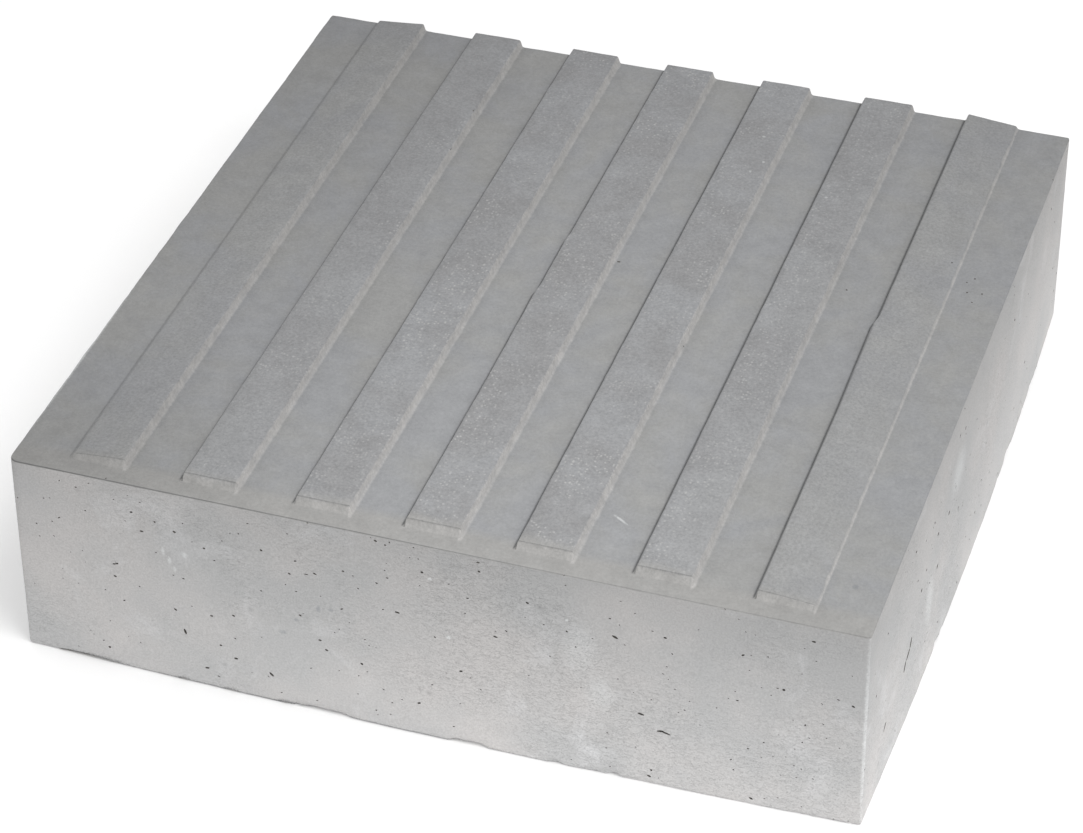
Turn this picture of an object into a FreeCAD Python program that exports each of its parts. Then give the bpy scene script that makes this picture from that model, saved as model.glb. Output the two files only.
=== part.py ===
import FreeCAD, Part
import os

# Tactile paving slab: one cast concrete block with seven guiding ribs on its top.
# X runs across the ribs, Y along them (the front is -Y) and Z up.
# The origin is the centre of the underside.

# Body
WIDTH = 400.0          # across the ribs, between the straight top edges
LENGTH = 400.0         # along the ribs, between the straight top edges
THICKNESS = 110.0      # underside to groove floor
SIDE_BOW = 3.5         # how far the middle of each lower edge bulges past its corners
TOP_ARRIS = 1.0        # small slope all round the top face
BOTTOM_ARRIS = 1.5     # small slope all round the underside
CORNER_RADIUS = 2.0    # upright corners
WORN_RADIUS = 5.0      # the front left upright corner, which is more rounded

# Ribs
RIB_COUNT = 7
RIB_HEIGHT = 4.0
RIB_BASE = 27.4        # across the foot
RIB_TOP = 24.6         # across the walking face
SIDE_MARGIN = 26.7     # plain strip from the side edge to the first rib's foot
FRONT_MARGIN = 9.5     # plain strip from the front edge to the ribs' feet
END_SLOPE = 3.0        # length of the slope at each rib's front end
MIDDLE_SQUEEZE = 1.6   # how much closer the three middle ribs stand than the mean
OUTER_FALL = 2.3       # how much lower the outer top edge of the two end ribs is

ROOT = 5.0             # how deep a rib's solid reaches into the body


def side_edge(start, end, bow):
    """One side of an outline: straight, or an arc that bulges outwards by bow."""
    if bow == 0:
        return Part.makeLine(start, end)
    along = (end - start).normalize()
    outwards = FreeCAD.Vector(along.y, -along.x, 0)
    middle = (start + end) * 0.5 + outwards * bow
    return Part.Arc(start, middle, end).toShape()


def corner_edge(corner, before, after, radius):
    """A quarter round about a corner, between the directions before and after it."""
    start = corner - before * radius
    end = corner + after * radius
    centre = start + after * radius
    middle = centre + (corner - centre).normalize() * radius
    return Part.Arc(start, middle, end).toShape()


def outline(height, inset, bow):
    """The body's closed outline at a height, run anticlockwise from the front left."""
    x = WIDTH / 2 - inset
    y = LENGTH / 2 - inset
    corners = [FreeCAD.Vector(*place, height) for place in ((-x, -y), (x, -y), (x, y), (-x, y))]
    radii = [WORN_RADIUS, CORNER_RADIUS, CORNER_RADIUS, CORNER_RADIUS]
    edges = []
    for index, corner in enumerate(corners):
        after = (index + 1) % len(corners)
        direction = (corners[after] - corner).normalize()
        came_from = (corner - corners[index - 1]).normalize()
        edges.append(corner_edge(corner, came_from, direction, radii[index]))
        start = corner + direction * radii[index]
        end = corners[after] - direction * radii[after]
        edges.append(side_edge(start, end, bow))
    return Part.Wire(edges)


def body():
    """The block, from its underside up to the groove floor."""
    levels = [
        outline(0, BOTTOM_ARRIS, SIDE_BOW),
        outline(BOTTOM_ARRIS, 0, SIDE_BOW),
        outline(THICKNESS - TOP_ARRIS, 0, 0),
        outline(THICKNESS, TOP_ARRIS, 0),
    ]
    return Part.makeLoft(levels, True, True)


def rib_centres():
    """X of each rib's middle, evenly about the centre, with the middle ones closer."""
    reach = WIDTH / 2 - SIDE_MARGIN - RIB_BASE / 2
    half = (RIB_COUNT - 1) // 2
    mean_pitch = reach / half
    centres = [0.0]
    for step in range(1, half + 1):
        drawn_in = MIDDLE_SQUEEZE * (half - step) / (half - 1)
        distance = step * mean_pitch - drawn_in
        centres = [-distance] + centres + [distance]
    return centres


def rib(centre, left_fall, right_fall):
    """One rib: a low trapezium, sloped at its front end and cut square at the back."""
    floor = THICKNESS
    base = RIB_BASE / 2
    top = RIB_TOP / 2
    front = -LENGTH / 2 + FRONT_MARGIN
    back = LENGTH / 2 - TOP_ARRIS
    section = [
        (centre - base, floor - ROOT),
        (centre + base, floor - ROOT),
        (centre + base, floor),
        (centre + top, floor + RIB_HEIGHT - right_fall),
        (centre - top, floor + RIB_HEIGHT - left_fall),
        (centre - base, floor),
    ]
    profile = [
        (front, floor - ROOT),
        (back, floor - ROOT),
        (back, floor + RIB_HEIGHT),
        (front + END_SLOPE, floor + RIB_HEIGHT),
        (front, floor),
    ]
    across = [FreeCAD.Vector(x, front, z) for x, z in section]
    beside = [FreeCAD.Vector(centre - base, y, z) for y, z in profile]
    length_bar = prism(across, FreeCAD.Vector(0, back - front, 0))
    width_bar = prism(beside, FreeCAD.Vector(RIB_BASE, 0, 0))
    return length_bar.common(width_bar)


def prism(points, sweep):
    """A solid from a closed polygon pushed along a vector."""
    return Part.Face(Part.makePolygon(points + points[:1])).extrude(sweep)


def paving_slab():
    """The whole slab, as the one solid it is cast as."""
    centres = rib_centres()
    ribs = []
    for centre in centres:
        left_fall = OUTER_FALL if centre == centres[0] else 0
        right_fall = OUTER_FALL if centre == centres[-1] else 0
        ribs.append(rib(centre, left_fall, right_fall))
    return body().fuse(ribs).removeSplitter()


os.makedirs("parts", exist_ok=True)
slab = paving_slab()
if len(slab.Solids) != 1 or not slab.isValid():
    raise RuntimeError("the slab did not come out as one sound solid")
slab.Solids[0].exportStep("parts/paving_slab.step")
box = slab.optimalBoundingBox(False, False)
print("size", round(box.XLength, 2), round(box.YLength, 2), round(box.ZLength, 2))
print("volume in litres", round(slab.Volume / 1e6, 3))
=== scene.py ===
import math

import bpy
import numpy as np
from bpy.props import FloatProperty, FloatVectorProperty, IntProperty, PointerProperty
from mathutils import Matrix, Vector, noise


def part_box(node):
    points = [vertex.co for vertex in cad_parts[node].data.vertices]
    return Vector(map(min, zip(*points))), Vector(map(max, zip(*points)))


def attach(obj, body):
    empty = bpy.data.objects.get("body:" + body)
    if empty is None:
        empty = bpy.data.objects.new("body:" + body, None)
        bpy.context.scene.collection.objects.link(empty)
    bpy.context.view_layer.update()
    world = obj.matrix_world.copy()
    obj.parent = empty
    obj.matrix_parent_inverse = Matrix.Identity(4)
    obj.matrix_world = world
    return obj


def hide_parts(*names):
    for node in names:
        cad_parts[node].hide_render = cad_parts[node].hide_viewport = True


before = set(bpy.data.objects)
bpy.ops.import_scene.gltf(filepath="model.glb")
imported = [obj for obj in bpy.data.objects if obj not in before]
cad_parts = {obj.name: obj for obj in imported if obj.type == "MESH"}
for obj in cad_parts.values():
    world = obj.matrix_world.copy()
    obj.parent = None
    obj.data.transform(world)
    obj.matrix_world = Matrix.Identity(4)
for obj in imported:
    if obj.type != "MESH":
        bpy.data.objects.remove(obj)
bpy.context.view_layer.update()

bl_info = {
    "name": "Tactile Paving Slab",
    "version": (1, 0, 0),
    "blender": (4, 5, 0),
    "location": "3D View > Sidebar > Paving",
    "description": "Builds a cast concrete guidance slab with ribs, air holes and worn edges",
    "category": "Add Mesh",
}

NODE = "paving_slab"
LOW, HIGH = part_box(NODE)
MM = 0.001


def linear(hex_colour):
    """An sRGB hex colour as the linear RGB that shaders and lights take."""
    channels = [int(hex_colour[i:i + 2], 16) / 255 for i in (1, 3, 5)]
    return [c / 12.92 if c <= 0.04045 else ((c + 0.055) / 1.055) ** 2.4 for c in channels]


def rgba(colour):
    """A colour property as the four numbers that a colour socket takes."""
    return (colour[0], colour[1], colour[2], 1.0)


class SlabSettings(bpy.types.PropertyGroup):
    """Sizes of the slab's body and ribs."""
    side_bow: FloatProperty(
        name="Side bow", description="Bulge of each lower edge in its middle",
        default=3.5 * MM, unit="LENGTH")
    rib_height: FloatProperty(
        name="Rib height", description="Groove floor to walking face", default=4.0 * MM, unit="LENGTH")
    rib_count: IntProperty(name="Ribs", description="Number of guiding ribs, an odd number", default=7)
    rib_base: FloatProperty(
        name="Rib foot", description="Width across a rib's foot", default=27.4 * MM, unit="LENGTH")
    rib_top: FloatProperty(
        name="Rib top", description="Width of a rib's walking face", default=24.6 * MM, unit="LENGTH")
    side_margin: FloatProperty(
        name="Side margin", description="Side edge to the first rib's foot",
        default=26.7 * MM, unit="LENGTH")
    front_margin: FloatProperty(
        name="Front margin", description="Front edge to the ribs' feet", default=9.5 * MM, unit="LENGTH")
    end_slope: FloatProperty(
        name="End slope", description="Length of the slope at a rib's front end",
        default=3.0 * MM, unit="LENGTH")
    middle_squeeze: FloatProperty(
        name="Middle squeeze", description="How much closer than the mean the middle ribs stand",
        default=1.6 * MM, unit="LENGTH")
    outer_fall: FloatProperty(
        name="Outer fall", description="Drop of the outer top edge on the two end ribs",
        default=2.3 * MM, unit="LENGTH")
    corner_radius: FloatProperty(
        name="Corner radius", description="Rounding of the upright corners",
        default=2.0 * MM, unit="LENGTH")
    worn_radius: FloatProperty(
        name="Worn corner radius", description="Rounding of the front left upright corner",
        default=5.0 * MM, unit="LENGTH")
    corner_lean: FloatProperty(
        name="Corner lean", description="How far the front left corner's foot leans out",
        default=1.6 * MM, unit="LENGTH")
    top_arris: FloatProperty(
        name="Top arris", description="Rounding of the top edges", default=0.9 * MM, unit="LENGTH")
    bottom_arris: FloatProperty(
        name="Bottom arris", description="Rounding of the lower edges where they are whole",
        default=1.5 * MM, unit="LENGTH")
    chip_size: FloatProperty(
        name="Chip size", description="Depth of the chips along the lower edges",
        default=3.5 * MM, unit="LENGTH")
    hole_density: FloatProperty(
        name="Air holes", description="Air holes per square metre of side face", default=9500.0)
    smallest_hole: FloatProperty(
        name="Smallest air hole", description="Radius of the smallest air hole",
        default=0.34 * MM, unit="LENGTH")
    hole_radius: FloatProperty(
        name="Largest air hole", description="Radius of the largest common air hole",
        default=0.9 * MM, unit="LENGTH")
    seed: IntProperty(name="Seed", description="Fixed seed for the air holes", default=11)


class ConcreteSettings(bpy.types.PropertyGroup):
    """Colours of the cast concrete, with some painted light and painted shade."""
    side: FloatVectorProperty(
        name="Side", description="Faces cast against the mould's walls", subtype="COLOR",
        default=linear("#AFADAC"))
    side_dark: FloatVectorProperty(
        name="Side clouds", description="Darker clouds on the side faces", subtype="COLOR",
        default=linear("#A6A6A6"))
    bloom: FloatVectorProperty(
        name="Lime bloom", description="Pale lime deposit in patches and streaks", subtype="COLOR",
        default=linear("#BFBFC0"))
    floor: FloatVectorProperty(
        name="Groove floor", description="Smooth bluish cement skin in the grooves", subtype="COLOR",
        default=linear("#9A9B9D"))
    tan: FloatVectorProperty(
        name="Tan skin", description="Warmer patches of the cement skin", subtype="COLOR",
        default=linear("#9C9C9B"))
    strip: FloatVectorProperty(
        name="Front strip", description="Dusty strip along the front edge", subtype="COLOR",
        default=linear("#9F9E9C"))
    worn: FloatVectorProperty(
        name="Worn rib top", description="Sanded rib tops where fine aggregate shows", subtype="COLOR",
        default=linear("#939394"))
    grain: FloatVectorProperty(
        name="Light grains", description="Pale sand grains on the rib tops", subtype="COLOR",
        default=linear("#B4B4B3"))
    # Painted light: pale colour on the rough right slopes of the ribs, which face the light, and on the ribs'
    # front slopes
    flank: FloatVectorProperty(
        name="Rib flank", description="Rough pale slopes of the ribs", subtype="COLOR",
        default=linear("#BCBAB8"))
    # Painted shade: dark lines at the ribs' left feet, along the upper front edge, atop the ribs' front
    # slopes and along the broken lower front edge
    seam: FloatVectorProperty(
        name="Seam", description="Dirt in the fine crease at a rib's left foot", subtype="COLOR",
        default=linear("#5E5F60"))
    spot: FloatVectorProperty(
        name="Grey spot", description="Soft grey spots on the front face", subtype="COLOR",
        default=linear("#85888B"))
    # Partly painted light: pale colour for lime, grit and scratches, and for painted highlights on the left
    # top arris and the upright front right corner
    mark: FloatVectorProperty(
        name="Pale mark", description="Scratches, grit and the bright worn arris", subtype="COLOR",
        default=linear("#CDCFCF"))
    # Partly painted shade: the inside of an air hole is dusty and painted dark as shade in the recess
    hole: FloatVectorProperty(
        name="Air hole", description="Dusty inside of an air hole", subtype="COLOR",
        default=linear("#65635F"))


class StageSettings(bpy.types.PropertyGroup):
    """Camera, floor and light."""
    target: FloatVectorProperty(
        name="Target", description="Point that the camera looks at", subtype="TRANSLATION",
        default=(-4.4 * MM, -31.0 * MM, 55.0 * MM))
    azimuth: FloatProperty(
        name="Azimuth", description="Camera turn from the front towards the right",
        default=math.radians(19.42), subtype="ANGLE")
    elevation: FloatProperty(
        name="Elevation", description="Camera height angle", default=math.radians(37.85), subtype="ANGLE")
    roll: FloatProperty(
        name="Roll", description="Clockwise tilt of the camera", default=math.radians(1.17), subtype="ANGLE")
    distance: FloatProperty(
        name="Distance", description="Camera to target", default=1.6913, unit="LENGTH")
    lens: FloatProperty(
        name="Lens", description="Focal length in millimetres on a 36 mm sensor", default=117.14)
    key_power: FloatProperty(name="Key light", description="Light from above, in watts", default=15.0)
    front_power: FloatProperty(name="Front light", description="Light from the front, in watts", default=5.0)
    air_strength: FloatProperty(name="Surroundings", description="Even light from all round", default=0.82)
    floor_colour: FloatVectorProperty(
        name="Floor", description="Pale studio floor", subtype="COLOR", default=linear("#FDFDFD"))


# Marks on this slab, in millimetres: middle, half sizes, turn in degrees and strength.
# On the front face: soft grey spots
GREY_SPOTS = (
    ((-52, -202, 61), (1.5, 8, 2.2), 0, 0.6),
    ((-46, -202, 62), (1.5, 8, 1.2), 0, 0.5),
    ((-63, -202, 52), (1.8, 8, 1.3), 0, 0.5),
    ((-70, -202, 43), (2.4, 8, 1.6), 0, 0.45),
)
# On the front and right faces: lime, a painted highlight down the upright front right corner, grit and two
# scratches
PALE_PATCHES_AND_CORNER_HIGHLIGHT = (
    ((71, -202, 70), (9, 14, 18), 0, 0.2),
    ((80, -202, 47), (8, 14, 12), 0, 0.22),
    ((203, -37, 76), (12, 16, 13), 0, 0.35),
    ((203, -90, 41), (12, 9, 16), 0, 0.3),
    ((200, -200, 58), (1.9, 1.9, 90), 0, 0.6),
    ((-126.5, -202, 75.5), (1.2, 8, 2.6), 0, 0.5),
    ((-123.7, -202, 70.5), (1.2, 8, 2.8), 0, 0.5),
    ((-121.5, -202, 66), (1.0, 8, 2.0), 0, 0.45),
    ((-116, -202, 75.5), (1.5, 8, 2.4), 0, 0.4),
    ((2, -202, 92), (1.3, 8, 1.0), 0, 0.8),
    ((10, -202, 61), (1.5, 8, 1.3), 0, 0.7),
    ((65, -202, 85), (1.0, 8, 0.9), 0, 0.8),
)
# Along the lower front edge: shade where the edge has broken away
DARK_EDGES = (
    ((-168, -203, 0.9), (22, 6, 2.3), 0, 0.95),
    ((-122, -203, 0.6), (5, 6, 2.0), 0, 0.7),
    ((-98, -203, 0.5), (6, 6, 2.0), 0, 0.7),
    ((-71, -203, 0.6), (6, 6, 2.2), 0, 0.7),
    ((-60, -203, 0.3), (140, 6, 1.2), 0, 0.6),
)
# On the walking face: a scratch, four bits of grit and a painted highlight along the left top edge
PALE_MARKS_AND_EDGE_HIGHLIGHT = (
    ((76, -157, 110), (5.2, 0.8, 3), -32, 0.75),
    ((54, 148.6, 112), (1.2, 1.0, 4), 0, 0.8),
    ((60, 126.6, 112), (1.0, 1.0, 4), 0, 0.8),
    ((56, 116.6, 112), (1.0, 1.3, 4), 0, 0.7),
    ((98, 105.6, 112), (1.1, 1.0, 4), 0, 0.8),
    ((-199.9, -120, 109.6), (1.6, 84, 3), 0, 0.95),
)
# On the walking face: a grey spot
DARK_MARKS = (
    ((185, -169.6, 110), (2.0, 2.0, 3), 0, 0.6),
)
# Holes in known places, in millimetres.
# Front face: place across and up, half length, half height and tilt in degrees. The last four are
# nicks in the lower edge.
FRONT_HOLES = (
    (-119, 30, 1.6, 0.6, 75), (-77, 16, 1.4, 0.6, 45), (87, 81, 1.5, 0.6, 25), (99, 40, 1.6, 0.55, 12),
    (108, 32.3, 1.7, 0.5, -12), (110.5, 31.8, 2.2, 0.45, 14), (-152, 54, 0.8, 0.5, 20),
    (-123, 42, 0.9, 0.5, 30),
    (-105, 43, 0.8, 0.5, 0), (-94, 46, 0.8, 0.5, 20), (-61, 55, 0.7, 0.5, 30), (-120, 88, 0.8, 0.6, 20),
    (-106, 82, 0.7, 0.5, 0), (-78, 88, 0.7, 0.5, 30), (-39, 86, 0.6, 0.45, 10), (-65, 78, 0.7, 0.5, 30),
    (-52, 43, 0.8, 0.5, 0), (-49, 38, 0.8, 0.5, 20), (-23, 107, 0.8, 0.5, 20), (-14, 69, 1.2, 0.5, 8),
    (25, 102, 0.7, 0.5, 20), (32, 67, 1.1, 0.45, 10), (47, 90, 0.8, 0.5, 20),
    (-172, 0.3, 17, 1.5, 0), (-122, 0, 3, 1.5, 0), (-98, 0, 4, 1.2, 0), (-71, 0, 3, 1.3, 0),
)
# Right face: place along and up, half length, half height and tilt in degrees
RIGHT_HOLES = (
    (-123.2, 43.3, 2.8, 1.1, 60), (-127.5, 40, 3.4, 1.0, 20), (-132.8, 37, 2.8, 1.1, 55),
    (-106, 60, 1.2, 0.8, 0), (-76, 50, 1.5, 0.8, 20), (-76, 69, 1.3, 0.7, 0), (-55, 65, 1.3, 0.8, 10),
    (-165, 29, 2.6, 0.8, 30),
)
# Walking face: place and radius
TOP_HOLES = (
    (182, 66, 0.5), (179, 62, 0.4), (181, 54, 0.5), (188, 55, 0.5), (185, 47, 0.4), (126, 39, 0.5),
    (169, 73, 0.4),
)
# Jogs in a rib's left edge, in millimetres: rib index, place along it and how far the edge steps out
EDGE_JOGS = ((6, 16, 1.2), (3, -8, 0.9), (3, 38, 0.6))

# Limits of a scattered air hole's shape, as shares of its radius, and of its turn in radians
FLATTEST_HOLE, FULLEST_HOLE = (0.9, 0.9, 0.5), (1.9, 1.9, 0.9)
LEAST_HOLE_TURN, MOST_HOLE_TURN = (-0.5, -0.2, -3.1), (0.5, 0.7, 3.1)
HOLE_SHAPE_SEED, HOLE_TURN_SEED = 5, 6


# ---------------------------------------------------------------- nodes


def add(tree, kind, inputs=None, **settings):
    """Adds one node with its settings, and links or values for its inputs."""
    made = tree.nodes.new(kind)
    for name, value in settings.items():
        setattr(made, name, value)
    for key, value in (inputs or {}).items():
        if isinstance(value, bpy.types.NodeSocket):
            tree.links.new(value, made.inputs[key])
        else:
            made.inputs[key].default_value = value
    return made


def new_material(name):
    """An empty node material, its tree and its Object coordinates."""
    material = bpy.data.materials.new(name)
    material.use_nodes = True
    tree = material.node_tree
    tree.nodes.clear()
    place = add(tree, "ShaderNodeTexCoord").outputs["Object"]
    return material, tree, place


def finish_material(tree, colour, height, bump_distance, roughness):
    """Closes a material with a bump and a matt mineral shader."""
    bump = add(tree, "ShaderNodeBump", {"Height": height, "Distance": bump_distance, "Strength": 1.0})
    shader = add(tree, "ShaderNodeBsdfPrincipled", {
        "Base Color": colour, "Normal": bump.outputs[0], "Roughness": roughness,
        "IOR": 1.5, "Specular IOR Level": 0.25})
    add(tree, "ShaderNodeOutputMaterial", {"Surface": shader.outputs[0]})


# Sockets of the Mix node in its colour form
FACTOR, A_COLOUR, B_COLOUR, COLOUR_OUT = 0, 6, 7, 2


def marked(tree, place, colour, marks, mark_colour):
    """Lays soft-edged oval marks of one colour over a surface colour."""
    # Crumbled edges, with crumbs about 0.8 mm across
    crumbs = add(tree, "ShaderNodeTexNoise", {"Vector": place, "Scale": 1 / (0.8 * MM), "Detail": 2.0})
    for middle, half_size, turn, strength in marks:
        local = add(tree, "ShaderNodeMapping", {
            "Vector": place, "Location": Vector(middle) * MM, "Scale": Vector(half_size) * MM,
            "Rotation": (0, 0, math.radians(turn))}, vector_type="TEXTURE")
        away = add(tree, "ShaderNodeVectorMath", {0: local.outputs[0]}, operation="LENGTH")
        rough = add(tree, "ShaderNodeMath", {0: crumbs.outputs[0], 1: 0.9, 2: away.outputs["Value"]},
                    operation="MULTIPLY_ADD")
        mask = add(tree, "ShaderNodeMapRange", {
            "Value": rough.outputs[0], "From Min": 0.85, "From Max": 1.45, "To Min": strength, "To Max": 0.0})
        colour = add(tree, "ShaderNodeMix", {
            FACTOR: mask.outputs[0], A_COLOUR: colour, B_COLOUR: rgba(mark_colour)},
            data_type="RGBA").outputs[COLOUR_OUT]
    return colour


def mould_side_concrete(colours, thickness):
    """Concrete cast against a mould wall: pale and matt, with cloudy cement skin, fine wrinkles
    that run level, a little lime bloom, soft grey spots, painted light, a painted highlight and painted
    shade."""
    material, tree, place = new_material("concrete_mould_side")
    clouds = add(tree, "ShaderNodeTexNoise", {
        "Vector": place, "Scale": 1 / (55 * MM), "Detail": 3.0, "Roughness": 0.55})
    cloud_mask = add(tree, "ShaderNodeMapRange", {
        "Value": clouds.outputs[0], "From Min": 0.38, "From Max": 0.66})
    base = add(tree, "ShaderNodeMix", {
        FACTOR: cloud_mask.outputs[0], A_COLOUR: rgba(colours.side_dark), B_COLOUR: rgba(colours.side)},
        data_type="RGBA")
    bloom_noise = add(tree, "ShaderNodeTexNoise", {
        "Vector": place, "Scale": 1 / (38 * MM), "Detail": 6.0, "Roughness": 0.65, "Distortion": 0.8})
    bloom_mask = add(tree, "ShaderNodeMapRange", {
        "Value": bloom_noise.outputs[0], "From Min": 0.56, "From Max": 0.78, "To Max": 0.7})
    bloomed = add(tree, "ShaderNodeMix", {
        FACTOR: bloom_mask.outputs[0], A_COLOUR: base.outputs[COLOUR_OUT], B_COLOUR: rgba(colours.bloom)},
        data_type="RGBA")
    # Sand in the skin, about 0.9 mm from grain to grain
    grain = add(tree, "ShaderNodeTexNoise", {
        "Vector": place, "Scale": 1 / (0.9 * MM), "Detail": 2.0, "Roughness": 0.6})
    grain_shade = add(tree, "ShaderNodeMapRange", {
        "Value": grain.outputs[0], "From Min": 0.3, "From Max": 0.7, "To Min": 0.91, "To Max": 1.09})
    # Level wrinkles, about 4.5 mm long and 1.7 mm apart, strongest in patches
    stretched = add(tree, "ShaderNodeMapping", {"Vector": place, "Scale": (1.0, 1.0, 2.6)})
    wrinkle = add(tree, "ShaderNodeTexNoise", {
        "Vector": stretched.outputs[0], "Scale": 1 / (4.5 * MM), "Detail": 3.0, "Roughness": 0.6,
        "Distortion": 1.0})
    wrinkle_line = add(tree, "ShaderNodeMath", {0: wrinkle.outputs[0], 1: 0.5}, operation="SUBTRACT")
    wrinkle_edge = add(tree, "ShaderNodeMath", {0: wrinkle_line.outputs[0]}, operation="ABSOLUTE")
    wrinkle_mask = add(tree, "ShaderNodeMapRange", {
        "Value": wrinkle_edge.outputs[0], "From Min": 0.0, "From Max": 0.022, "To Min": 1.0, "To Max": 0.0})
    patches = add(tree, "ShaderNodeTexNoise", {"Vector": place, "Scale": 1 / (80 * MM), "Detail": 2.0})
    patch_mask = add(tree, "ShaderNodeMapRange", {
        "Value": patches.outputs[0], "From Min": 0.4, "From Max": 0.6, "To Min": 0.15, "To Max": 1.0})
    wrinkles = add(tree, "ShaderNodeMath", {0: wrinkle_mask.outputs[0], 1: patch_mask.outputs[0]},
                   operation="MULTIPLY")
    wrinkle_shade = add(tree, "ShaderNodeMath", {0: wrinkles.outputs[0], 1: -0.26, 2: 1.0},
                        operation="MULTIPLY_ADD")
    # Soft grey spots 2 to 4 mm across, where an air hole lies just under the skin
    spots = add(tree, "ShaderNodeTexVoronoi", {"Vector": place, "Scale": 1 / (24 * MM)})
    spot_mask = add(tree, "ShaderNodeMapRange", {
        "Value": spots.outputs["Distance"], "From Min": 0.03, "From Max": 0.09,
        "To Min": 0.84, "To Max": 1.0})
    shade = add(tree, "ShaderNodeMath", {0: grain_shade.outputs[0], 1: wrinkle_shade.outputs[0]},
                operation="MULTIPLY")
    shade = add(tree, "ShaderNodeMath", {0: shade.outputs[0], 1: spot_mask.outputs[0]}, operation="MULTIPLY")
    # Painted light: the skin is painted paler towards the underside, most of all towards the right
    split = add(tree, "ShaderNodeSeparateXYZ", {0: place})
    painted_light_at_foot = add(tree, "ShaderNodeMapRange", {
        "Value": split.outputs["X"], "From Min": -180 * MM, "From Max": 60 * MM,
        "To Min": 1.18, "To Max": 1.4})
    painted_light_by_height = add(tree, "ShaderNodeMapRange", {
        "Value": split.outputs["Z"], "From Max": thickness, "To Min": painted_light_at_foot.outputs[0], "To Max": 0.88})
    shade = add(tree, "ShaderNodeMath", {0: shade.outputs[0], 1: painted_light_by_height.outputs[0]}, operation="MULTIPLY")
    # On the right face it is paler still towards the front corner
    on_right = add(tree, "ShaderNodeMapRange", {
        "Value": split.outputs["X"], "From Min": 198.6 * MM, "From Max": 199.8 * MM, "To Max": 0.17})
    paler_front = add(tree, "ShaderNodeMapRange", {
        "Value": split.outputs["Y"], "From Min": -200 * MM, "From Max": -20 * MM,
        "To Min": 1.0, "To Max": 0.0})
    right_face_paling = add(tree, "ShaderNodeMath", {0: on_right.outputs[0], 1: paler_front.outputs[0], 2: 1.0},
                       operation="MULTIPLY_ADD")
    shade = add(tree, "ShaderNodeMath", {0: shade.outputs[0], 1: right_face_paling.outputs[0]},
                operation="MULTIPLY")
    # Lime, grit, scratches and a painted highlight down the upright front right corner
    patched = marked(tree, place, bloomed.outputs[COLOUR_OUT], PALE_PATCHES_AND_CORNER_HIGHLIGHT, colours.mark)
    spotted = marked(tree, place, patched, GREY_SPOTS, colours.spot)
    # Painted shade along the broken lower front edge
    spotted = marked(tree, place, spotted, DARK_EDGES, colours.seam)
    colour = add(tree, "ShaderNodeVectorMath", {0: spotted, "Scale": shade.outputs[0]}, operation="SCALE")
    relief = add(tree, "ShaderNodeMath", {0: wrinkles.outputs[0], 1: -0.4, 2: grain.outputs[0]},
                 operation="MULTIPLY_ADD")
    finish_material(tree, colour.outputs[0], relief.outputs[0], 0.15 * MM, 0.9)
    return material


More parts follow.
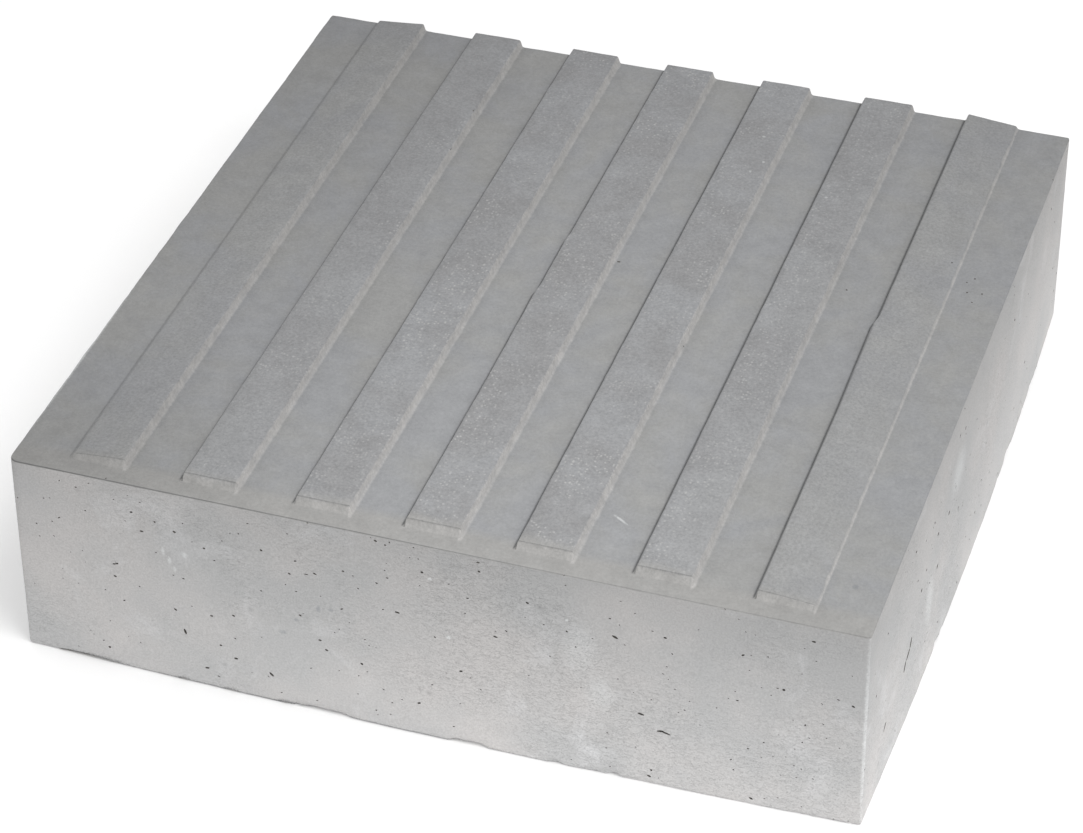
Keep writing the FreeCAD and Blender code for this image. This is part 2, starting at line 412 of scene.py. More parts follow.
def walking_face_concrete(colours, floor_height, rib_height, front):
    """Concrete cast against the mould's floor: a smooth bluish cement skin in the grooves, rib tops
    sanded by feet so that pale grains show, rough slopes painted pale as painted light, and painted shade."""
    material, tree, place = new_material("concrete_walking_face")
    split = add(tree, "ShaderNodeSeparateXYZ", {0: place})
    height = split.outputs["Z"]
    on_rib = add(tree, "ShaderNodeMapRange", {
        "Value": height, "From Min": floor_height + 0.25 * rib_height,
        "From Max": floor_height + 0.6 * rib_height})
    # Painted light: the right slopes are painted pale, with a ragged outline of crumbs from 5 mm down to
    # under 1 mm across
    crumbs = add(tree, "ShaderNodeTexNoise", {
        "Vector": place, "Scale": 1 / (5 * MM), "Detail": 5.0, "Roughness": 0.75})
    slope = add(tree, "ShaderNodeAttribute", attribute_name="slope")
    ragged = add(tree, "ShaderNodeMath", {0: crumbs.outputs[0], 1: 1.4, 2: slope.outputs["Fac"]},
                 operation="MULTIPLY_ADD")
    painted_light_on_slope = add(tree, "ShaderNodeMapRange", {
        "Value": ragged.outputs[0], "From Min": 1.0, "From Max": 1.9})
    clouds = add(tree, "ShaderNodeTexNoise", {
        "Vector": place, "Scale": 1 / (45 * MM), "Detail": 5.0, "Roughness": 0.6, "Distortion": 0.4})
    cloud_mask = add(tree, "ShaderNodeMapRange", {
        "Value": clouds.outputs[0], "From Min": 0.4, "From Max": 0.62})
    skin = add(tree, "ShaderNodeMix", {
        FACTOR: cloud_mask.outputs[0], A_COLOUR: rgba(colours.floor), B_COLOUR: rgba(colours.tan)},
        data_type="RGBA")
    worn = add(tree, "ShaderNodeMix", {
        FACTOR: cloud_mask.outputs[0], A_COLOUR: rgba(colours.worn), B_COLOUR: rgba(colours.floor)},
        data_type="RGBA")
    # Feet have worn the middle ribs most
    across = add(tree, "ShaderNodeMath", {0: split.outputs["X"]}, operation="ABSOLUTE")
    trodden = add(tree, "ShaderNodeMapRange", {
        "Value": across.outputs[0], "From Min": 85 * MM, "From Max": 150 * MM,
        "To Min": 1.0, "To Max": 0.3})
    trodden_rib = add(tree, "ShaderNodeMath", {0: trodden.outputs[0], 1: on_rib.outputs[0]},
                      operation="MULTIPLY")
    surface = add(tree, "ShaderNodeMix", {
        FACTOR: trodden_rib.outputs[0], A_COLOUR: skin.outputs[COLOUR_OUT],
        B_COLOUR: worn.outputs[COLOUR_OUT]}, data_type="RGBA")
    # Pale sand grains about 1 mm across, 1.5 mm apart
    cells = add(tree, "ShaderNodeTexVoronoi", {"Vector": place, "Scale": 1 / (1.5 * MM)})
    chosen = add(tree, "ShaderNodeSeparateColor", {0: cells.outputs["Color"]})
    some = add(tree, "ShaderNodeMath", {0: chosen.outputs[0], 1: 0.7}, operation="GREATER_THAN")
    dot = add(tree, "ShaderNodeMapRange", {
        "Value": cells.outputs["Distance"], "From Min": 0.15, "From Max": 0.5, "To Min": 0.9, "To Max": 0.0})
    speck = add(tree, "ShaderNodeMath", {0: some.outputs[0], 1: dot.outputs[0]}, operation="MULTIPLY")
    wear = add(tree, "ShaderNodeTexNoise", {"Vector": place, "Scale": 1 / (30 * MM), "Detail": 3.0})
    wear_mask = add(tree, "ShaderNodeMapRange", {
        "Value": wear.outputs[0], "From Min": 0.35, "From Max": 0.6})
    sanded = add(tree, "ShaderNodeMath", {0: wear_mask.outputs[0], 1: trodden_rib.outputs[0]},
                 operation="MULTIPLY")
    grains = add(tree, "ShaderNodeMath", {0: speck.outputs[0], 1: sanded.outputs[0]}, operation="MULTIPLY")
    grained = add(tree, "ShaderNodeMix", {
        FACTOR: grains.outputs[0], A_COLOUR: surface.outputs[COLOUR_OUT], B_COLOUR: rgba(colours.grain)},
        data_type="RGBA")
    # A dusty strip about 14 mm wide along the front edge, with a wandering border
    edge_wander = add(tree, "ShaderNodeMath", {
        0: clouds.outputs[0], 1: 12 * MM, 2: split.outputs["Y"]}, operation="MULTIPLY_ADD")
    strip = add(tree, "ShaderNodeMapRange", {
        "Value": edge_wander.outputs[0], "From Min": front + 17 * MM, "From Max": front + 23 * MM,
        "To Min": 0.9, "To Max": 0.0})
    stripped = add(tree, "ShaderNodeMix", {
        FACTOR: strip.outputs[0], A_COLOUR: grained.outputs[COLOUR_OUT], B_COLOUR: rgba(colours.strip)},
        data_type="RGBA")
    # Painted light: the right slopes and the ribs' front ends are painted pale
    sloped = add(tree, "ShaderNodeMix", {
        FACTOR: painted_light_on_slope.outputs[0], A_COLOUR: stripped.outputs[COLOUR_OUT], B_COLOUR: rgba(colours.flank)},
        data_type="RGBA")
    # Painted shade in the creases and along the edges
    seam = add(tree, "ShaderNodeAttribute", attribute_name="seam")
    shade_line_mask = add(tree, "ShaderNodeMapRange", {
        "Value": seam.outputs["Fac"], "From Min": 0.1, "From Max": 0.9, "To Max": 0.85})
    sloped = add(tree, "ShaderNodeMix", {
        FACTOR: shade_line_mask.outputs[0], A_COLOUR: sloped.outputs[COLOUR_OUT], B_COLOUR: rgba(colours.seam)},
        data_type="RGBA")
    # Fine sand texture, about 1.4 mm from grain to grain
    sand = add(tree, "ShaderNodeTexNoise", {
        "Vector": place, "Scale": 1 / (1.4 * MM), "Detail": 3.0, "Roughness": 0.75})
    coarse = add(tree, "ShaderNodeMath", {0: on_rib.outputs[0], 1: 0.06, 2: 1.09}, operation="MULTIPLY_ADD")
    smoother = add(tree, "ShaderNodeMath", {0: 2.0, 1: coarse.outputs[0]}, operation="SUBTRACT")
    sand_shade = add(tree, "ShaderNodeMapRange", {
        "Value": sand.outputs[0], "From Min": 0.3, "From Max": 0.7,
        "To Min": smoother.outputs[0], "To Max": coarse.outputs[0]})
    mottle = add(tree, "ShaderNodeTexNoise", {
        "Vector": place, "Scale": 1 / (9 * MM), "Detail": 4.0, "Roughness": 0.6})
    mottle_shade = add(tree, "ShaderNodeMapRange", {
        "Value": mottle.outputs[0], "From Min": 0.3, "From Max": 0.7, "To Min": 0.94, "To Max": 1.06})
    shade = add(tree, "ShaderNodeMath", {0: sand_shade.outputs[0], 1: mottle_shade.outputs[0]},
                operation="MULTIPLY")
    # Painted shade: the skin is painted darker towards the back, the two sides and most
    # of all the front left corner
    shade_to_back = add(tree, "ShaderNodeMapRange", {
        "Value": split.outputs["Y"], "From Min": front, "From Max": -front, "To Min": 0.97, "To Max": 0.77})
    shade_to_left = add(tree, "ShaderNodeMapRange", {
        "Value": split.outputs["X"], "From Min": front, "From Max": 0.1 * front,
        "To Min": 0.82, "To Max": 1.0})
    shade_to_right = add(tree, "ShaderNodeMapRange", {
        "Value": split.outputs["X"], "From Min": 80 * MM, "From Max": 160 * MM,
        "To Min": 1.0, "To Max": 0.935})
    from_corner = add(tree, "ShaderNodeVectorMath", {0: place, 1: (front, front, floor_height)},
                      operation="DISTANCE")
    shade_at_front_left = add(tree, "ShaderNodeMapRange", {
        "Value": from_corner.outputs["Value"], "From Min": 30 * MM, "From Max": 130 * MM,
        "To Min": 0.87, "To Max": 1.0})
    for painted_falloff in (shade_to_back, shade_to_left, shade_to_right, shade_at_front_left):
        shade = add(tree, "ShaderNodeMath", {0: shade.outputs[0], 1: painted_falloff.outputs[0]}, operation="MULTIPLY")
    flecked = marked(tree, place, sloped.outputs[COLOUR_OUT], PALE_MARKS_AND_EDGE_HIGHLIGHT, colours.mark)
    flecked = marked(tree, place, flecked, DARK_MARKS, colours.spot)
    colour = add(tree, "ShaderNodeVectorMath", {0: flecked, "Scale": shade.outputs[0]}, operation="SCALE")
    relief = add(tree, "ShaderNodeMath", {0: grains.outputs[0], 1: 0.4, 2: sand.outputs[0]},
                 operation="MULTIPLY_ADD")
    finish_material(tree, colour.outputs[0], relief.outputs[0], 0.25 * MM, 0.85)
    return material


def air_hole_dust_and_shade(colours):
    """The inside of an air hole: dusty, painted darker than the skin as shade in the recess, and fully matt.
    """
    material, tree, place = new_material("concrete_air_hole_dust_and_shade")
    dust = add(tree, "ShaderNodeTexNoise", {"Vector": place, "Scale": 1 / (1.5 * MM), "Detail": 2.0})
    shade = add(tree, "ShaderNodeMapRange", {
        "Value": dust.outputs[0], "From Min": 0.3, "From Max": 0.7, "To Min": 0.8, "To Max": 1.2})
    colour = add(tree, "ShaderNodeVectorMath", {0: tuple(colours.hole), "Scale": shade.outputs[0]},
                 operation="SCALE")
    finish_material(tree, colour.outputs[0], dust.outputs[0], 0.2 * MM, 0.95)
    return material


# ---------------------------------------------------------------- slab mesh


def spread(start, end, step):
    """Evenly spaced numbers from start up to end, no further apart than step, without the end."""
    count = max(1, math.ceil((end - start) / step))
    return [start + (end - start) * i / count for i in range(count)]


def filled(stops, step):
    """The stops in order, with evenly spaced numbers between them."""
    stops = sorted(set(round(stop, 7) for stop in stops))
    lines = []
    for start, end in zip(stops, stops[1:]):
        lines += spread(start, end, step)
    return np.array(lines + [stops[-1]])


def body_size(slab):
    """Width and length between the straight top edges, and thickness up to the groove floor."""
    bulges = 2 * slab.side_bow
    return HIGH[0] - LOW[0] - bulges, HIGH[1] - LOW[1] - bulges, HIGH[2] - LOW[2] - slab.rib_height


def rib_centres(slab, width):
    """X of each rib's middle: even about the centre, with the middle ones closer."""
    half = (slab.rib_count - 1) // 2
    mean_pitch = (width / 2 - slab.side_margin - slab.rib_base / 2) / half
    distances = []
    for step in range(1, half + 1):
        drawn_in = slab.middle_squeeze * (half - step) / (half - 1)
        distances.append(step * mean_pitch - drawn_in)
    return [-d for d in reversed(distances)] + [0.0] + distances


def rib_section(slab):
    """Half a rib's section from its middle outwards: distances and heights, with soft corners."""
    foot = slab.rib_base / 2
    top = slab.rib_top / 2
    run = foot - top
    reach = [0, top - 0.5 * MM, top, top + 0.25 * run, foot - 0.25 * run, foot + 0.1 * MM, foot + 0.45 * MM,
             foot + 0.9 * MM, foot + 1.5 * MM]
    rise = [1, 1, 0.94, 0.78, 0.2, 0.06, 0.02, 0, 0]
    return np.array(reach), np.array(rise) * slab.rib_height


def relief(slab, width, length, x, y):
    """Height of the walking face above the groove floor at each x and y."""
    reach, rise = rib_section(slab)
    centres = rib_centres(slab, width)
    top = slab.rib_top / 2
    height = np.zeros_like(x)
    for centre in centres:
        section = np.interp(np.abs(x - centre), reach, rise)
        if centre in (centres[0], centres[-1]):
            outwards = (x - centre) * math.copysign(1, centre)
            fall = np.clip((outwards + top) / (2 * top), 0, 1) * slab.outer_fall
            section = section * (1 - fall / slab.rib_height)
        height = np.maximum(height, section)
    foot = -length / 2 + slab.front_margin
    places = [foot - 0.4 * MM, foot + 0.2 * MM, foot + slab.end_slope * 0.85, foot + slab.end_slope * 1.3]
    ramp = np.interp(y, places, [0, 0.06, 0.93, 1]) * slab.rib_height
    return np.minimum(height, ramp)


def foot_shade_lines(slab, width, length, x, y):
    """From 0 to 1, how much each point lies in the fine crease along a rib's left foot, where shade is
    painted.
    """
    seam = np.zeros_like(x)
    centres = rib_centres(slab, width)
    for centre in centres:
        strength = 0.42 if centre == centres[0] else 1.0
        away = (centre - slab.rib_base / 2 - 0.45 * MM - x) / (0.5 * MM)
        seam = np.maximum(seam, strength * np.exp(-away ** 2))
    foot = -length / 2 + slab.front_margin
    return seam * np.clip((y - foot) / (2 * MM), 0, 1)


def lit_right_slopes(slab, width, x):
    """From 0 to 1, how much each point lies on a rib's rough right slope or in the fillet at its foot, where
    light is painted.
    """
    slope = np.zeros_like(x)
    centres = rib_centres(slab, width)
    start = slab.rib_top / 2 - 0.5 * MM
    end = slab.rib_base / 2 + 1.5 * MM
    for centre in centres[:-1]:
        band = np.interp(x - centre, [start, start + 0.9 * MM, end - 1.7 * MM, end], [0, 1, 0.9, 0])
        slope = np.maximum(slope, band)
    # The last rib is lower there, so its slope is narrower
    band = np.interp(x - centres[-1], [start + 0.5 * MM, start + 1.2 * MM, end - 1.9 * MM, end - 0.9 * MM],
                     [0, 1, 1, 0])
    slope = np.maximum(slope, band)
    return slope


def fractal(points, size, octaves=3):
    """Smooth noise from -1 to 1 at each point, with features of a given size."""
    scaled = points / size
    return np.array([noise.fractal(Vector(p), 0.6, 2.1, octaves) for p in scaled])


def round_pair(a, half_a, b, half_b, radius):
    """Rounds the edge where two directions meet, for points given by distance from the middle."""
    u = np.abs(a) - (half_a - radius)
    v = np.abs(b) - (half_b - radius)
    inside = (u > 0) & (v > 0)
    length = np.where(inside, np.hypot(u, v), 1)
    pull = np.where(inside, np.maximum(u, v) / length, 1)
    new_a = np.where(inside, np.sign(a) * (half_a - radius + u * pull), a)
    new_b = np.where(inside, np.sign(b) * (half_b - radius + v * pull), b)
    return new_a, new_b


def box_grid(xs, ys, zs, strips):
    """Points and quads of a closed box whose faces are divided at the given lines.
    The underside is one flat face inside a number of divided strips along its edges."""
    index = {}
    points = []

    def point(i, j, k):
        key = (i, j, k)
        if key not in index:
            index[key] = len(points)
            points.append((xs[i], ys[j], zs[k]))
        return index[key]

    last_x, last_y, last_z = len(xs) - 1, len(ys) - 1, len(zs) - 1
    faces = []
    for i in range(last_x):
        for j in range(last_y):
            faces.append((point(i, j, last_z), point(i + 1, j, last_z),
                          point(i + 1, j + 1, last_z), point(i, j + 1, last_z)))
    for k in range(last_z):
        for i in range(last_x):
            faces.append((point(i, 0, k), point(i + 1, 0, k), point(i + 1, 0, k + 1), point(i, 0, k + 1)))
            faces.append((point(i + 1, last_y, k), point(i, last_y, k),
                          point(i, last_y, k + 1), point(i + 1, last_y, k + 1)))
        for j in range(last_y):
            faces.append((point(last_x, j, k), point(last_x, j + 1, k),
                          point(last_x, j + 1, k + 1), point(last_x, j, k + 1)))
            faces.append((point(0, j + 1, k), point(0, j, k), point(0, j, k + 1), point(0, j + 1, k + 1)))
    far_x, far_y = last_x - strips, last_y - strips
    for i in range(last_x):
        for j in range(last_y):
            if strips <= i < far_x and strips <= j < far_y:
                continue
            faces.append((point(i, j, 0), point(i, j + 1, 0), point(i + 1, j + 1, 0), point(i + 1, j, 0)))
    rim = [(i, strips) for i in range(strips, far_x)] + [(far_x, j) for j in range(strips, far_y)]
    rim += [(i, far_y) for i in range(far_x, strips, -1)] + [(strips, j) for j in range(far_y, strips, -1)]
    faces.append(tuple(point(i, j, 0) for i, j in reversed(rim)))
    return np.array(points), faces


def slab_points(slab, points, width, length, thickness):
    """Moves a plain box's points to the cast slab's surface."""
    x, y, z = points.T.copy()
    on_top = z > thickness - 1e-6
    # Each noise below is read at its own offset, so that no two of them line up
    edge_noise = fractal(points, 14 * MM, 4)
    chips = np.clip((fractal(points + 3.1, 26 * MM, 4) - 0.22) * 4, 0, 1)
    # Upright corners
    worn = np.interp(z, [0, thickness], [0.2 * slab.worn_radius, slab.worn_radius])
    corner = np.where((x < 0) & (y < 0), worn, slab.corner_radius)
    x, y = round_pair(x, width / 2, y, length / 2, corner)
    # Top and lower edges
    top_radius = slab.top_arris * (1 + 0.45 * edge_noise)
    low_radius = slab.bottom_arris * (1 + 0.4 * edge_noise) + slab.chip_size * chips
    middle = thickness / 2
    level = z - middle
    radius = np.where(level > 0, top_radius, low_radius)
    x, level = round_pair(x, width / 2, level, middle, radius)
    y, level = round_pair(y, length / 2, level, middle, radius)
    z = level + middle
    # Sides that bulge towards the underside
    bow = np.clip((thickness - slab.top_arris - z) / thickness, 0, 1) * slab.side_bow
    x_bow = 1 - np.clip(np.abs(y) / (length / 2 - slab.corner_radius), 0, 1) ** 2
    y_bow = 1 - np.clip(np.abs(x) / (width / 2 - slab.corner_radius), 0, 1) ** 2
    x, y = x * (1 + bow * x_bow * 2 / width), y * (1 + bow * y_bow * 2 / length)
    # The front left upright corner leans out a little towards its foot
    near_corner = np.clip(1 - np.hypot(points[:, 0] + width / 2, points[:, 1] + length / 2) / (90 * MM), 0, 1)
    x = x - slab.corner_lean * near_corner * (1 - z / thickness)
    # Ribs
    rise = relief(slab, width, length, points[:, 0], points[:, 1])
    rise = np.where(on_top, rise, 0)
    near_edge = np.minimum(width / 2 - np.abs(points[:, 0]), length / 2 - np.abs(points[:, 1]))
    rise = rise * np.where((points[:, 1] > 0) & (near_edge < 0.2 * MM), 0.85, 1)
    flank = np.clip(rise / slab.rib_height, 0, 1)
    flank = 4 * flank * (1 - flank)
    x = x + fractal(points + 7.7, 8 * MM, 3) * 0.35 * MM * flank
    # Each jog steps out within 4 mm and dies away over the next 70 mm
    for rib, place, step in EDGE_JOGS:
        from_edge = points[:, 0] - (rib_centres(slab, width)[rib] - slab.rib_base / 2)
        along = np.interp(points[:, 1] - place * MM, np.array([-70, -2, 2]) * MM, [0, 1, 0])
        x = x - np.where(on_top, step * MM * along * np.exp(-(from_edge / (3 * MM)) ** 2), 0)
    crease = 0.3 * MM * foot_shade_lines(slab, width, length, points[:, 0], points[:, 1])
    z = z + rise - np.where(on_top, crease, 0)
    # Waves and dents of the cast faces, always inwards
    waves = 0.25 * MM * (1 + fractal(points + 1.3, 90 * MM, 2))
    waves = waves + 0.06 * MM * (1 + fractal(points + 5.3, 9 * MM, 3))
    inwards = np.where(on_top, waves * 0.5, 0)
    z = np.where(z > 1 * MM, z - inwards, z)
    side_x = np.clip((np.abs(points[:, 0]) - (width / 2 - 1 * MM)) / MM, 0, 1)
    side_y = np.clip((np.abs(points[:, 1]) - (length / 2 - 1 * MM)) / MM, 0, 1)
    x = x - np.sign(x) * side_x * waves
    y = y - np.sign(y) * side_y * waves
    return np.stack([x, y, z], axis=1)


def slab_body(slab):
    """The slab's mesh, before its air holes are cut, and its thickness."""
    width, length, thickness = body_size(slab)
    reach, _ = rib_section(slab)
    edge_offsets = np.array([0, 0.35, 0.8, 1.4, 2.4, 3.6, 5.2]) * MM
    across = [side * (width / 2 - offset) for side in (-1, 1) for offset in edge_offsets]
    for centre in rib_centres(slab, width):
        across += [centre + side * distance for side in (-1, 1) for distance in reach[1:]]
    foot = -length / 2 + slab.front_margin
    along = [side * (length / 2 - offset) for side in (-1, 1) for offset in edge_offsets]
    along += [foot - 0.4 * MM, foot + 0.2 * MM]
    along += [foot + slab.end_slope * share for share in (0.7, 0.85, 1.0, 1.3)]
    up = list(edge_offsets) + list(thickness - edge_offsets)
    xs = filled(across, 4.5 * MM)
    ys = filled(along, 2.6 * MM)
    zs = filled(up, 4.5 * MM)
    points, faces = box_grid(xs, ys, zs, len(edge_offsets) - 1)
    mesh = bpy.data.meshes.new(NODE + "_cast")
    mesh.from_pydata(slab_points(slab, points, width, length, thickness).tolist(), [], faces)
    mesh.update()
    # Air holes are rare on the walking face, and gather in patches
    on_top = points[:, 2] > thickness - 1e-6
    share = np.where(on_top, 0.012, 1.0)
    share = share * np.clip(0.75 + 1.4 * fractal(points + 9.9, 60 * MM, 2), 0.15, 2) / 2
    mesh.attributes.new("hole_density", "FLOAT", "POINT").data.foreach_set("value", share)
    # Painted shade: dark creases are painted at the ribs' feet and, fading to the right, along the upper
    # front edge
    seam = foot_shade_lines(slab, width, length, points[:, 0], points[:, 1])
    front_edge = (points[:, 1] < -length / 2 + 0.5 * MM) & (points[:, 2] > thickness - 0.5 * MM)
    fading = np.interp(points[:, 0], [-width / 2, 0, width * 0.3, width / 2], [0.75, 0.6, 0.3, 0.35])
    seam = np.where(on_top, seam, 0) + np.where(front_edge, fading, 0)
    slope = np.where(on_top, lit_right_slopes(slab, width, points[:, 0]), 0)
    slope = slope * np.clip((points[:, 1] - foot + slab.end_slope) / (3 * MM), 0, 1)
    # Painted light and shade: the slope at a rib's front end is painted a little paler, under a thin line of
    # painted shade
    rise = relief(slab, width, length, points[:, 0], np.zeros(len(points))) / slab.rib_height
    on_rib = on_top & (rise > 0.4)
    ramp = np.interp(points[:, 1] - foot, [-0.4 * MM, 0.2 * MM, 0.7 * slab.end_slope, 0.85 * slab.end_slope],
                     [0, 0.5, 0.45, 0])
    slope = np.maximum(slope, np.where(on_rib, ramp, 0))
    ramp_top_shade = np.interp(points[:, 1] - foot, slab.end_slope * np.array([0.7, 0.85, 1.0]), [0, 0.5, 0])
    seam = np.maximum(seam, np.where(on_rib, ramp_top_shade, 0))
    mesh.attributes.new("seam", "FLOAT", "POINT").data.foreach_set("value", seam)
    mesh.attributes.new("slope", "FLOAT", "POINT").data.foreach_set("value", slope)
    return mesh, thickness


def unit_bubble(tree, subdivisions):
    """A ball of radius 1 whose faces are marked, so that what it cuts can be told apart."""
    ball = add(tree, "GeometryNodeMeshIcoSphere", {"Radius": 1.0, "Subdivisions": subdivisions})
    return add(tree, "GeometryNodeStoreNamedAttribute", {
        "Geometry": ball.outputs["Mesh"], "Name": "in_hole", "Value": True},
        data_type="BOOLEAN", domain="FACE")


def air_hole_tree(materials):
    """Geometry Nodes that cut scattered air holes into a cast block and give it its materials."""
    tree = bpy.data.node_groups.new("Air holes", "GeometryNodeTree")
    face = tree.interface
    face.new_socket("Geometry", in_out="INPUT", socket_type="NodeSocketGeometry")
    for name, kind in (("Density", "Float"), ("Smallest", "Float"), ("Largest", "Float"),
                       ("Floor height", "Float"), ("Seed", "Int"), ("Known holes", "Object")):
        face.new_socket(name, in_out="INPUT", socket_type="NodeSocket" + kind)
    face.new_socket("Geometry", in_out="OUTPUT", socket_type="NodeSocketGeometry")
    given = add(tree, "NodeGroupInput").outputs
    share = add(tree, "GeometryNodeInputNamedAttribute", {"Name": "hole_density"}, data_type="FLOAT")
    here = add(tree, "ShaderNodeMath", {0: share.outputs[0], 1: given["Density"]}, operation="MULTIPLY")
    scatter = add(tree, "GeometryNodeDistributePointsOnFaces", {
        "Mesh": given["Geometry"], "Density": here.outputs[0], "Seed": given["Seed"]})
    # Most holes are small: a random number to the fifth power
    luck = add(tree, "FunctionNodeRandomValue", {"Seed": given["Seed"]}, data_type="FLOAT")
    rare = add(tree, "ShaderNodeMath", {0: luck.outputs[1], 1: 5.0}, operation="POWER")
    radius = add(tree, "ShaderNodeMapRange", {
        "Value": rare.outputs[0], "To Min": given["Smallest"], "To Max": given["Largest"]})
    shape = add(tree, "FunctionNodeRandomValue", {
        0: FLATTEST_HOLE, 1: FULLEST_HOLE, "Seed": HOLE_SHAPE_SEED}, data_type="FLOAT_VECTOR")
    size = add(tree, "ShaderNodeVectorMath", {0: shape.outputs[0], "Scale": radius.outputs[0]},
               operation="SCALE")
    turn = add(tree, "FunctionNodeRandomValue", {
        0: LEAST_HOLE_TURN, 1: MOST_HOLE_TURN, "Seed": HOLE_TURN_SEED}, data_type="FLOAT_VECTOR")
    rotation = add(tree, "FunctionNodeEulerToRotation", {0: turn.outputs[0]})
    bubble = unit_bubble(tree, 1)
    placed = add(tree, "GeometryNodeInstanceOnPoints", {
        "Points": scatter.outputs["Points"], "Instance": bubble.outputs[0],
        "Rotation": rotation.outputs[0], "Scale": size.outputs[0]})
    known = add(tree, "GeometryNodeObjectInfo", {"Object": given["Known holes"]})
    half_size = add(tree, "GeometryNodeInputNamedAttribute", {"Name": "half_size"}, data_type="FLOAT_VECTOR")
    tilt = add(tree, "GeometryNodeInputNamedAttribute", {"Name": "tilt"}, data_type="FLOAT_VECTOR")
    tilted = add(tree, "FunctionNodeEulerToRotation", {0: tilt.outputs[0]})
    smooth_bubble = unit_bubble(tree, 3)
    known_placed = add(tree, "GeometryNodeInstanceOnPoints", {
        "Points": known.outputs["Geometry"], "Instance": smooth_bubble.outputs[0],
        "Rotation": tilted.outputs[0], "Scale": half_size.outputs[0]})
    both = add(tree, "GeometryNodeJoinGeometry", {0: placed.outputs[0]})
    tree.links.new(known_placed.outputs[0], both.inputs[0])
    bubbles = add(tree, "GeometryNodeRealizeInstances", {"Geometry": both.outputs[0]})
    cut = add(tree, "GeometryNodeMeshBoolean", {
        "Mesh 1": given["Geometry"], "Mesh 2": bubbles.outputs[0]}, operation="DIFFERENCE", solver="MANIFOLD")
    in_hole = add(tree, "GeometryNodeInputNamedAttribute", {"Name": "in_hole"}, data_type="BOOLEAN")
    place = add(tree, "ShaderNodeSeparateXYZ", {0: add(tree, "GeometryNodeInputPosition").outputs[0]})
    on_top = add(tree, "FunctionNodeCompare", {0: place.outputs["Z"], 1: given["Floor height"]},
                 operation="GREATER_THAN", data_type="FLOAT")
    whole = add(tree, "GeometryNodeRealizeInstances", {"Geometry": cut.outputs["Mesh"]})
    finished = whole.outputs[0]
    for chosen, material in ((None, materials[0]), (on_top, materials[1]), (in_hole, materials[2])):
        given_material = {"Geometry": finished, "Material": material}
        if chosen:
            given_material["Selection"] = chosen.outputs[0]
        finished = add(tree, "GeometryNodeSetMaterial", given_material).outputs[0]
    add(tree, "NodeGroupOutput", {0: finished})
    return tree


def known_holes(slab):
    """Loose points for the holes in known places, with each one's half size and tilt."""
    width, length, thickness = body_size(slab)
    points, sizes, tilts = [], [], []
    # Each middle lies a little way in from the face or out from it, so that part of the oval cuts
    for x, z, half_length, half_height, tilt in FRONT_HOLES:
        bow = slab.side_bow * (1 - z * MM / thickness) * (1 - (2 * x * MM / width) ** 2)
        points.append((x * MM, -length / 2 - bow + 0.3 * MM, z * MM))
        sizes.append((half_length * MM, min(half_length, 1.6) * MM, half_height * MM))
        tilts.append((0, math.radians(tilt), 0))
    for y, z, half_length, half_height, tilt in RIGHT_HOLES:
        bow = slab.side_bow * (1 - z * MM / thickness) * (1 - (2 * y * MM / length) ** 2)
        points.append((width / 2 + bow - 0.3 * MM, y * MM, z * MM))
        sizes.append((1.2 * MM, half_length * MM, half_height * MM))
        tilts.append((math.radians(tilt), 0, 0))
    for x, y, radius in TOP_HOLES:
        rise = relief(slab, width, length, np.array([x * MM]), np.array([y * MM]))[0]
        points.append((x * MM, y * MM, thickness + rise - 0.2 * MM))
        sizes.append((radius * MM, radius * MM, radius * MM))
        tilts.append((0, 0, 0))
    mesh = bpy.data.meshes.new("known_holes")
    mesh.from_pydata(points, [], [])
    half_size = mesh.attributes.new("half_size", "FLOAT_VECTOR", "POINT")
    half_size.data.foreach_set("vector", np.array(sizes).ravel())
    tilt = mesh.attributes.new("tilt", "FLOAT_VECTOR", "POINT")
    tilt.data.foreach_set("vector", np.array(tilts).ravel())
    holder = bpy.data.objects.new("known_holes", mesh)
    bpy.context.scene.collection.objects.link(holder)
    return holder


def set_input(modifier, name, value):
    """Sets a Geometry Nodes modifier's input by its socket's identifier."""
    for item in modifier.node_group.interface.items_tree:
        if item.in_out == "INPUT" and item.name == name:
            modifier[item.identifier] = value
            return
    raise RuntimeError("no input named " + name)


def made_plain(worker, name):
    """A plain mesh object from what a worker object's modifiers make."""
    depsgraph = bpy.context.evaluated_depsgraph_get()
    mesh = bpy.data.meshes.new_from_object(worker.evaluated_get(depsgraph), depsgraph=depsgraph)
    mesh.name = name
    source = worker.data
    bpy.data.objects.remove(worker)
    bpy.data.meshes.remove(source)
    made = bpy.data.objects.new(name, mesh)
    bpy.context.scene.collection.objects.link(made)
    return made


class PAVING_OT_slab(bpy.types.Operator):
    """Builds the cast concrete slab in place of the plain block"""
    bl_idname = "paving.slab"
    bl_label = "Cast slab"

    def execute(self, context):
        slab = context.scene.paving_slab
        colours = context.scene.paving_concrete
        mesh, thickness = slab_body(slab)
        materials = [mould_side_concrete(colours, thickness),
                     walking_face_concrete(colours, thickness, slab.rib_height, LOW[1] + slab.side_bow),
                     air_hole_dust_and_shade(colours)]
        worker = bpy.data.objects.new("slab_worker", mesh)
        context.scene.collection.objects.link(worker)
        modifier = worker.modifiers.new("Air holes", "NODES")
        modifier.node_group = air_hole_tree(materials)
        set_input(modifier, "Density", slab.hole_density)
        set_input(modifier, "Smallest", slab.smallest_hole)
        set_input(modifier, "Largest", slab.hole_radius)
        # The walking face starts just under the groove floor, below its dents
        set_input(modifier, "Floor height", thickness - 1.0 * MM)
        set_input(modifier, "Seed", slab.seed)
        holes = known_holes(slab)
        set_input(modifier, "Known holes", holes)
        piece = made_plain(worker, "cast_slab")
        points = holes.data
        bpy.data.objects.remove(holes)
        bpy.data.meshes.remove(points)
        piece.data.shade_smooth()
        piece.data.set_sharp_from_angle(angle=math.radians(40))
        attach(piece, "root")
        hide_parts(NODE)
        return {"FINISHED"}


# ---------------------------------------------------------------- stage


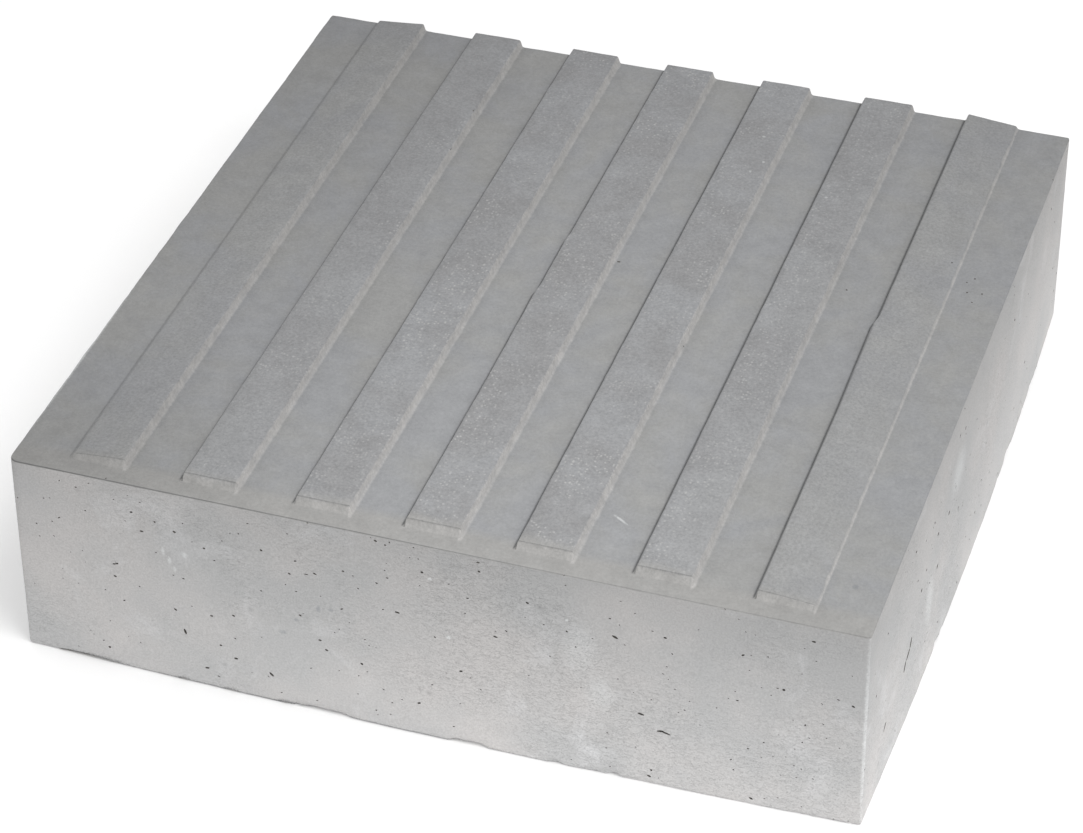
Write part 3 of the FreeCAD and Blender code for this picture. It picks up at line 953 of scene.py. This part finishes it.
def studio_floor(colour):
    """A pale matt floor under the slab, with a faint unevenness like painted board."""
    material, tree, place = new_material("studio_floor_paint")
    faint = add(tree, "ShaderNodeTexNoise", {"Vector": place, "Scale": 4.0, "Detail": 2.0})
    shade = add(tree, "ShaderNodeMapRange", {"Value": faint.outputs[0], "To Min": 0.99, "To Max": 1.01})
    tone = add(tree, "ShaderNodeVectorMath", {0: tuple(colour), "Scale": shade.outputs[0]}, operation="SCALE")
    finish_material(tree, tone.outputs[0], faint.outputs[0], 0.1 * MM, 0.95)
    half = 6.0
    mesh = bpy.data.meshes.new("studio_floor")
    corners = [(-half, -half, 0), (half, -half, 0), (half, half, 0), (-half, half, 0)]
    mesh.from_pydata(corners, [], [(0, 1, 2, 3)])
    mesh.materials.append(material)
    floor = bpy.data.objects.new("studio_floor", mesh)
    bpy.context.scene.collection.objects.link(floor)


def soft_light(name, place, aim, size, power):
    """A large square light that looks at a point."""
    light = bpy.data.lights.new(name, "AREA")
    light.shape = "SQUARE"
    light.size = size
    light.energy = power
    lamp = bpy.data.objects.new(name, light)
    lamp.location = place
    lamp.rotation_euler = (Vector(aim) - Vector(place)).to_track_quat("-Z", "Y").to_euler()
    bpy.context.scene.collection.objects.link(lamp)


def studio_camera(stage):
    """The camera, turned and raised about its target."""
    away = Vector((math.sin(stage.azimuth) * math.cos(stage.elevation),
                   -math.cos(stage.azimuth) * math.cos(stage.elevation),
                   math.sin(stage.elevation)))
    level_right = Vector((math.cos(stage.azimuth), math.sin(stage.azimuth), 0))
    level_up = away.cross(level_right)
    right = level_right * math.cos(stage.roll) - level_up * math.sin(stage.roll)
    up = away.cross(right)
    camera_data = bpy.data.cameras.new("studio_camera")
    camera_data.lens = stage.lens
    camera_data.sensor_width = 36.0
    camera_data.sensor_fit = "HORIZONTAL"
    camera = bpy.data.objects.new("studio_camera", camera_data)
    turn = Matrix((right, up, away)).transposed().to_4x4()
    camera.matrix_world = Matrix.Translation(Vector(stage.target) + away * stage.distance) @ turn
    bpy.context.scene.collection.objects.link(camera)
    bpy.context.scene.camera = camera


class PAVING_OT_stage(bpy.types.Operator):
    """Builds the floor, the lights and the camera"""
    bl_idname = "paving.stage"
    bl_label = "Stage"

    def execute(self, context):
        stage = context.scene.paving_stage
        studio_floor(stage.floor_colour)
        aim = (0, 0, 60 * MM)
        soft_light("key_light", (0.8, -0.5, 1.8), aim, 0.9, stage.key_power)
        soft_light("front_light", (0.5, -1.9, 1.0), aim, 1.4, stage.front_power)
        world = bpy.data.worlds.new("studio_air")
        world.use_nodes = True
        world.node_tree.nodes["Background"].inputs["Color"].default_value = (1, 1, 1, 1)
        world.node_tree.nodes["Background"].inputs["Strength"].default_value = stage.air_strength
        context.scene.world = world
        context.scene.view_settings.view_transform = "Standard"
        studio_camera(stage)
        return {"FINISHED"}


class PAVING_PT_panel(bpy.types.Panel):
    """Lists the slab's settings, with buttons that build the slab and the stage"""
    bl_label = "Tactile Paving Slab"
    bl_idname = "PAVING_PT_panel"
    bl_space_type = "VIEW_3D"
    bl_region_type = "UI"
    bl_category = "Paving"

    def draw(self, context):
        layout = self.layout
        for settings, operator in ((context.scene.paving_slab, "paving.slab"),
                                   (context.scene.paving_concrete, None),
                                   (context.scene.paving_stage, "paving.stage")):
            column = layout.column(align=True)
            for name in settings.__annotations__:
                column.prop(settings, name)
            if operator:
                layout.operator(operator)


CLASSES = (SlabSettings, ConcreteSettings, StageSettings, PAVING_OT_slab, PAVING_OT_stage, PAVING_PT_panel)


def register():
    for item in CLASSES:
        bpy.utils.register_class(item)
    bpy.types.Scene.paving_slab = PointerProperty(type=SlabSettings)
    bpy.types.Scene.paving_concrete = PointerProperty(type=ConcreteSettings)
    bpy.types.Scene.paving_stage = PointerProperty(type=StageSettings)


def unregister():
    del bpy.types.Scene.paving_stage
    del bpy.types.Scene.paving_concrete
    del bpy.types.Scene.paving_slab
    for item in reversed(CLASSES):
        bpy.utils.unregister_class(item)


def main():
    register()
    bpy.ops.paving.slab()
    bpy.ops.paving.stage()


if __name__ == "__main__":
    main()
